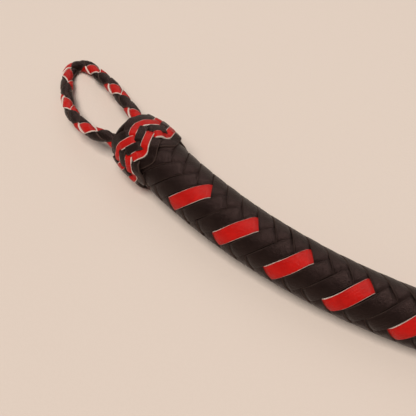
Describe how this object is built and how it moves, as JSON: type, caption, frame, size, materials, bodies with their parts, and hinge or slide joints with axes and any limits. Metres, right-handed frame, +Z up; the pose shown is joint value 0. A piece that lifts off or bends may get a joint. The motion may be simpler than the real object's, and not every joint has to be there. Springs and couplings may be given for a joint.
{
  "type": "riding crop",
  "caption": "Plaited leather riding crop with a bulbous woven heel knot, a plaited hanging loop, a slim plaited shaft and a folded leather tongue.",
  "frame": {"origin": "on the surface the crop lies on, under the middle of the crop's outline seen from above, its hanging loop left out", "axes": "+Z up; +X from the heel knot to the tongue, along the chord of the bent crop; +Y to the crop's left, towards the inside of its bend"},
  "size_m": [0.5413, 0.1124, 0.0262],
  "materials": {
    "black_leather": "smooth, softly polished strands with a fine grain",
    "red_leather": "smooth dyed strands with pale raw edges",
    "inner_leather": "raw, hidden under the plait",
    "thread": "waxed thread",
    "fibre_rod": "drawn glass fibre rod"
  },
  "bodies": {
    "crop": {"core_rod": "fibre_rod", "fore_foundation": "inner_leather", "fore_knot_black": "black_leather", "fore_knot_red": "red_leather", "handle_bolster": "inner_leather", "handle_strand_black_01": "black_leather", "handle_strand_black_02": "black_leather", "handle_strand_black_03": "black_leather", "handle_strand_black_04": "black_leather", "handle_strand_black_05": "black_leather", "handle_strand_black_06": "black_leather", "handle_strand_black_07": "black_leather", "handle_strand_black_08": "black_leather", "handle_strand_black_09": "black_leather", "handle_strand_black_10": "black_leather", "handle_strand_red_01": "red_leather", "handle_strand_red_02": "red_leather", "heel_foundation": "inner_leather", "heel_knot_black": "black_leather", "heel_knot_red": "red_leather", "loop_binding": "thread", "loop_tails": "inner_leather", "shaft_bolster": "inner_leather", "shaft_strand_black_01": "black_leather", "shaft_strand_black_02": "black_leather", "shaft_strand_black_03": "black_leather", "shaft_strand_black_04": "black_leather", "shaft_strand_black_05": "black_leather", "shaft_strand_black_06": "black_leather", "shaft_strand_red_01": "red_leather", "shaft_strand_red_02": "red_leather", "tip_binding": "thread", "tongue_root": "black_leather"},
    "loop": {"hanging_loop": "black_leather"},
    "tongue": {"tongue_flap": "black_leather", "tongue_stitches": "thread"}
  },
  "joints": [
    {"name": "loop_hinge", "type": "hinge", "parent": "crop", "child": "loop", "pos_m": [-0.24838, 0.03266, 0.0131], "axis": [0.5941, 0.8044, 0], "range_deg": [-30, 80], "stiffness_Nm_per_rad": 0.05},
    {"name": "tongue_hinge", "type": "hinge", "parent": "crop", "child": "tongue", "pos_m": [0.17259, 0.01065, 0.00623], "axis": [-0.2423, 0.9702, 0], "range_deg": [-50, 50], "stiffness_Nm_per_rad": 0.12}
  ]
}
